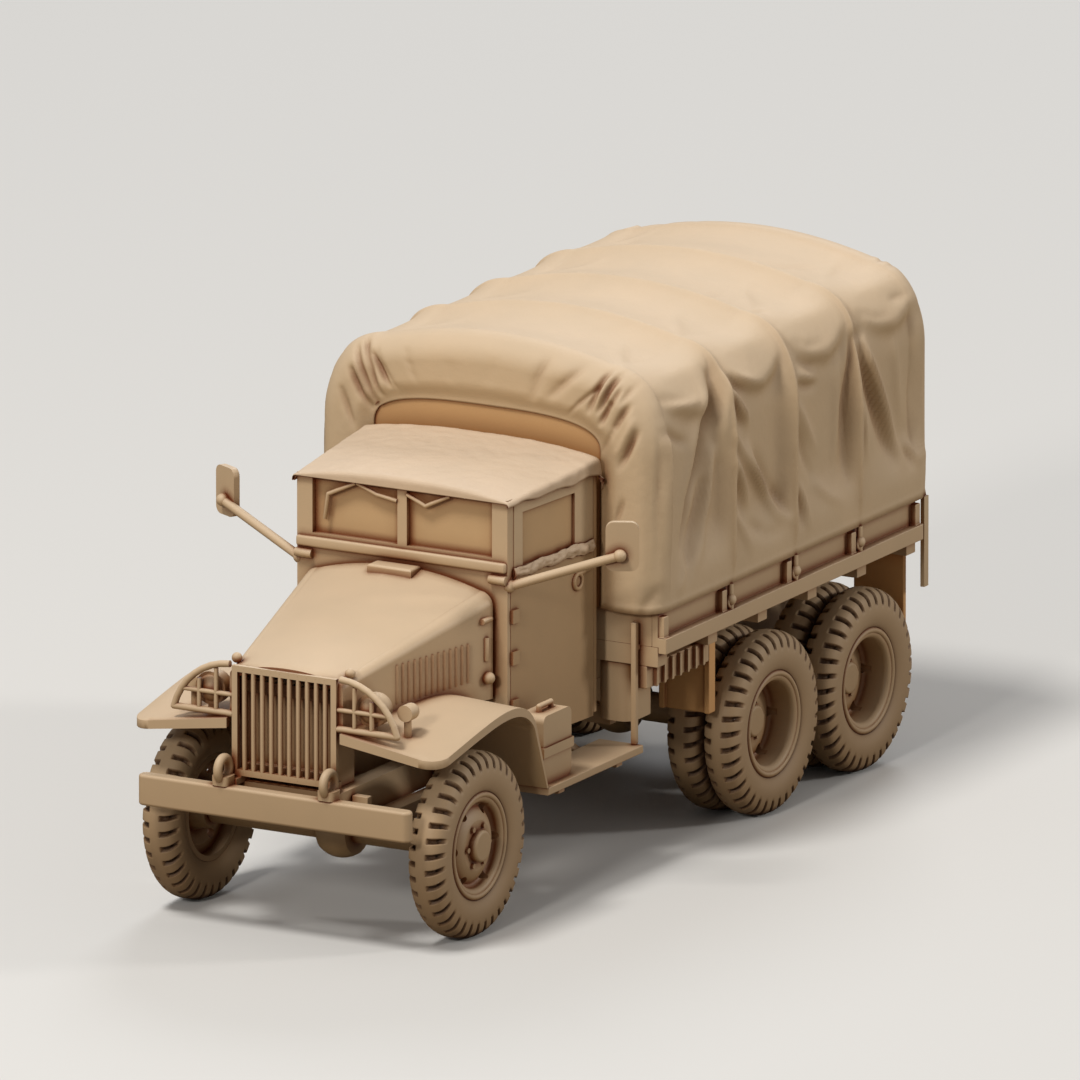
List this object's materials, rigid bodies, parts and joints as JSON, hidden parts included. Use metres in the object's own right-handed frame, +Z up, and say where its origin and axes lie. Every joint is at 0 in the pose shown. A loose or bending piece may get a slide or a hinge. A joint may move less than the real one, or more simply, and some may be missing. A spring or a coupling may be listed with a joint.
{
  "type": "printed scale model of a military cargo truck",
  "caption": "Rigid printed scale model of a long-nosed military cargo truck with a closed cab, a canvas-covered bed and wheels that roll.",
  "frame": {"origin": "middle of the whole model's length and width, on the ground plane", "axes": "the truck faces -Y, its left side is +X, +Z is up"},
  "size_m": [0.0774, 0.1618, 0.0841],
  "materials": {
    "printed_tan": "matte tan print resin",
    "printed_canvas": "matte tan print resin, modelled as canvas",
    "printed_tyre": "matte tan print resin, modelled as a tyre"
  },
  "bodies": {
    "truck": {"axle_front": "printed_tan", "axles_rear": "printed_tan", "bed_floor": "printed_tan", "bed_sides": "printed_tan", "bows": "printed_tan", "cab_back": "printed_tan", "cab_floor": "printed_tan", "cab_roof": "printed_canvas", "cowl": "printed_tan", "doors": "printed_tan", "engine": "printed_tan", "fenders": "printed_tan", "frame_rails": "printed_tan", "front_bumper": "printed_tan", "front_curtain": "printed_canvas", "grille_guard": "printed_tan", "headboard": "printed_tan", "headlamps": "printed_tan", "hood": "printed_tan", "jerrycan": "printed_tan", "lamp_guards": "printed_tan", "marker_lamps": "printed_tan", "mirrors": "printed_tan", "mud_flaps": "printed_tan", "prop_shafts": "printed_tan", "radiator": "printed_tan", "rear_hook": "printed_tan", "running_boards": "printed_tan", "seat": "printed_tan", "side_curtains": "printed_canvas", "side_lockers": "printed_tan", "side_panes": "printed_tan", "side_tanks": "printed_tan", "springs_front": "printed_tan", "springs_rear": "printed_tan", "steering_wheel": "printed_tan", "step_posts": "printed_tan", "tailgate": "printed_tan", "tarp": "printed_canvas", "tie_ropes": "printed_canvas", "tow_hooks": "printed_tan", "transfer_case": "printed_tan", "windscreen_frame": "printed_tan", "windscreen_panes": "printed_tan"},
    "wheel_front_left": {"tyre_front_left": "printed_tyre", "disc_front_left": "printed_tan"},
    "wheel_front_right": {"tyre_front_right": "printed_tyre", "disc_front_right": "printed_tan"},
    "wheel_mid_left": {"tyre_mid_left": "printed_tyre", "disc_mid_left": "printed_tan"},
    "wheel_mid_right": {"tyre_mid_right": "printed_tyre", "disc_mid_right": "printed_tan"},
    "wheel_rear_left": {"tyre_rear_left": "printed_tyre", "disc_rear_left": "printed_tan"},
    "wheel_rear_right": {"tyre_rear_right": "printed_tyre", "disc_rear_right": "printed_tan"}
  },
  "joints": [
    {"name": "wheel_front_left_spin", "type": "hinge", "parent": "truck", "child": "wheel_front_left", "pos_m": [0.024, -0.0602, 0.015], "axis": [1, 0, 0], "continuous": true},
    {"name": "wheel_front_right_spin", "type": "hinge", "parent": "truck", "child": "wheel_front_right", "pos_m": [-0.024, -0.0602, 0.015], "axis": [1, 0, 0], "continuous": true},
    {"name": "wheel_mid_left_spin", "type": "hinge", "parent": "truck", "child": "wheel_mid_left", "pos_m": [0.024, 0.0289, 0.015], "axis": [1, 0, 0], "continuous": true},
    {"name": "wheel_mid_right_spin", "type": "hinge", "parent": "truck", "child": "wheel_mid_right", "pos_m": [-0.024, 0.0289, 0.015], "axis": [1, 0, 0], "continuous": true},
    {"name": "wheel_rear_left_spin", "type": "hinge", "parent": "truck", "child": "wheel_rear_left", "pos_m": [0.024, 0.0601, 0.015], "axis": [1, 0, 0], "continuous": true},
    {"name": "wheel_rear_right_spin", "type": "hinge", "parent": "truck", "child": "wheel_rear_right", "pos_m": [-0.024, 0.0601, 0.015], "axis": [1, 0, 0], "continuous": true}
  ]
}
